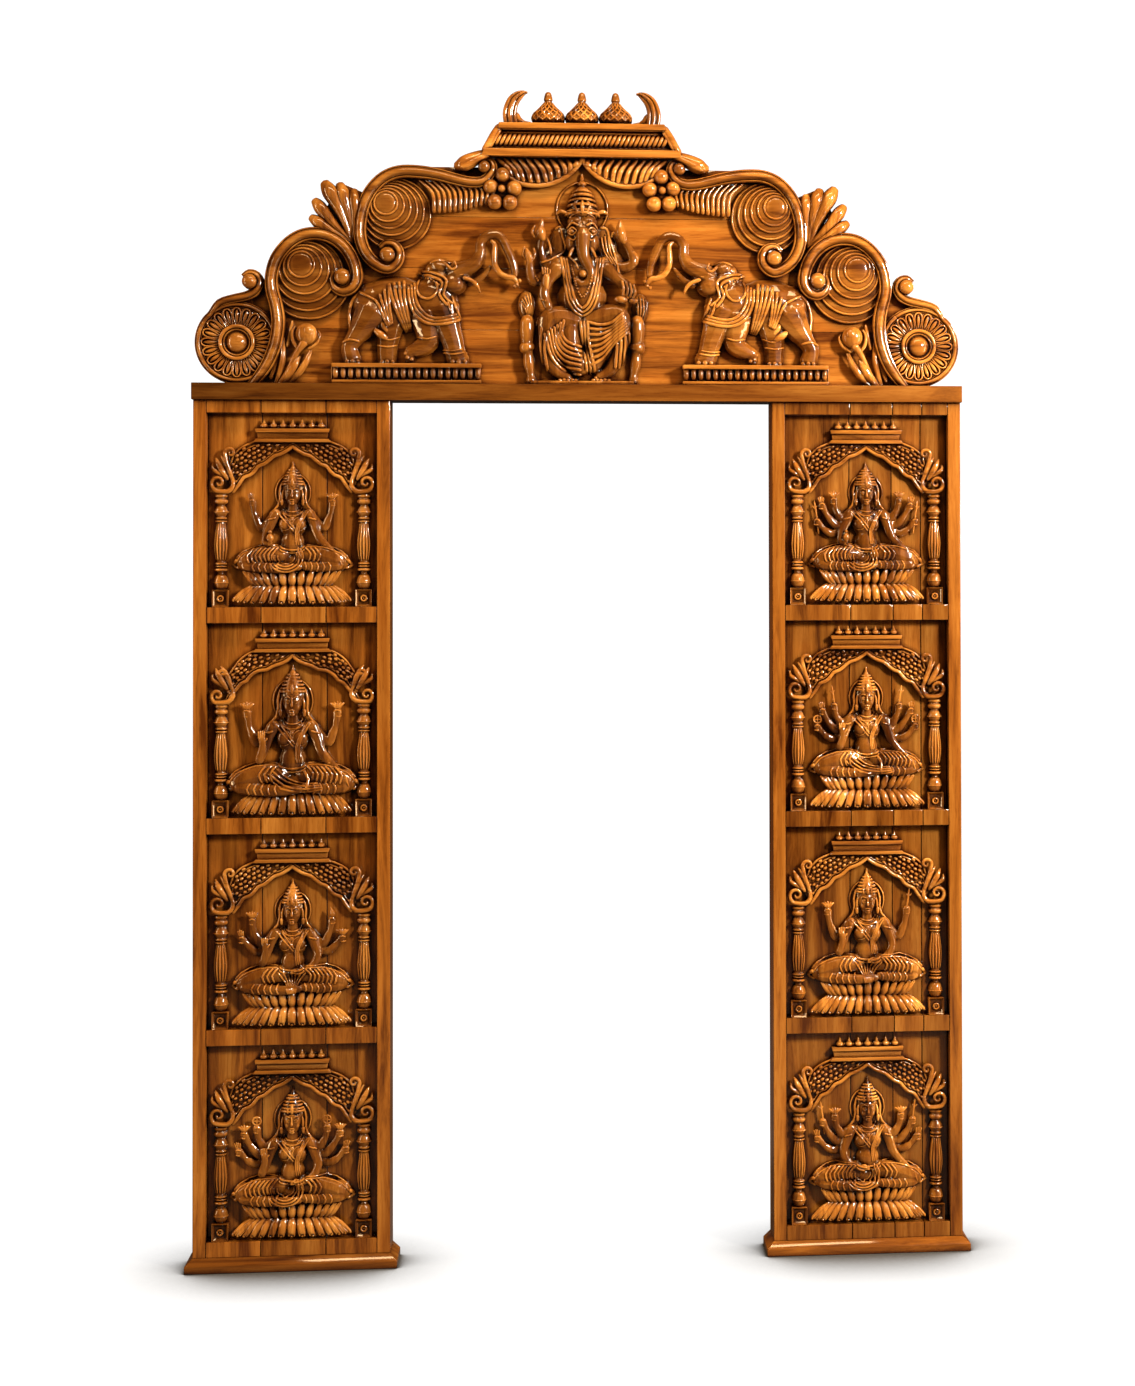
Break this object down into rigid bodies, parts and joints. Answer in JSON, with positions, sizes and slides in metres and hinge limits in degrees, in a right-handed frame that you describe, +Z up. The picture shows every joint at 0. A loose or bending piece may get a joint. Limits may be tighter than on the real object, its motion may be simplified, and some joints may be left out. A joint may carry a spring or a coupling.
{
  "type": "carved temple door surround",
  "caption": "Carved wooden door surround: two columns of figure niches on plinths, a lintel, and a crest of scrolls, elephants and a seated elephant-headed figure.",
  "frame": {"origin": "floor level, half way across the width and half way through the depth", "axes": "+X to the right seen from the front, +Y from the carved front towards the wall, +Z up"},
  "size_m": [1.84, 0.11, 2.763],
  "materials": {
    "teak_boards": "gloss varnish",
    "teak_staves": "gloss varnish",
    "teak_planks": "gloss varnish",
    "teak_carving": "gloss varnish",
    "teak_niche_carving": "gloss varnish",
    "pale_teak": "unfinished, sawn"
  },
  "bodies": {
    "root": {"left_plinth": "teak_boards", "right_plinth": "teak_boards", "left_outer_stile": "teak_boards", "left_inner_stile": "teak_boards", "right_inner_stile": "teak_boards", "right_outer_stile": "teak_boards", "left_stave_1": "teak_staves", "left_stave_2": "teak_staves", "left_stave_3": "teak_staves", "right_stave_1": "teak_staves", "right_stave_2": "teak_staves", "right_stave_3": "teak_staves", "right_stave_4": "teak_staves", "lintel": "teak_planks", "lintel_dowels": "pale_teak", "crest_board_1": "teak_planks", "crest_board_2": "teak_planks", "crest_board_3": "teak_planks", "crest_board_4": "teak_planks", "crest_battens": "pale_teak", "crown_block": "teak_carving", "crown_finials": "teak_carving", "crown_horns": "teak_carving", "left_rosette": "teak_carving", "right_rosette": "teak_carving", "left_lower_scroll": "teak_carving", "right_lower_scroll": "teak_carving", "left_upper_scroll": "teak_carving", "right_upper_scroll": "teak_carving", "left_fan_leaf": "teak_carving", "right_fan_leaf": "teak_carving", "left_bud_spray": "teak_carving", "right_bud_spray": "teak_carving", "left_berries": "teak_carving", "right_berries": "teak_carving", "left_swag": "teak_carving", "right_swag": "teak_carving", "left_elephant": "teak_carving", "right_elephant": "teak_carving", "central_figure": "teak_carving", "left_figure_1": "teak_niche_carving", "left_figure_2": "teak_niche_carving", "left_figure_3": "teak_niche_carving", "left_figure_4": "teak_niche_carving", "right_figure_1": "teak_niche_carving", "right_figure_2": "teak_niche_carving", "right_figure_3": "teak_niche_carving", "right_figure_4": "teak_niche_carving", "left_arch_1": "teak_niche_carving", "left_arch_2": "teak_niche_carving", "left_arch_3": "teak_niche_carving", "left_arch_4": "teak_niche_carving", "right_arch_1": "teak_niche_carving", "right_arch_2": "teak_niche_carving", "right_arch_3": "teak_niche_carving", "right_arch_4": "teak_niche_carving", "left_pillars": "teak_niche_carving", "right_pillars": "teak_niche_carving"}
  },
  "joints": []
}
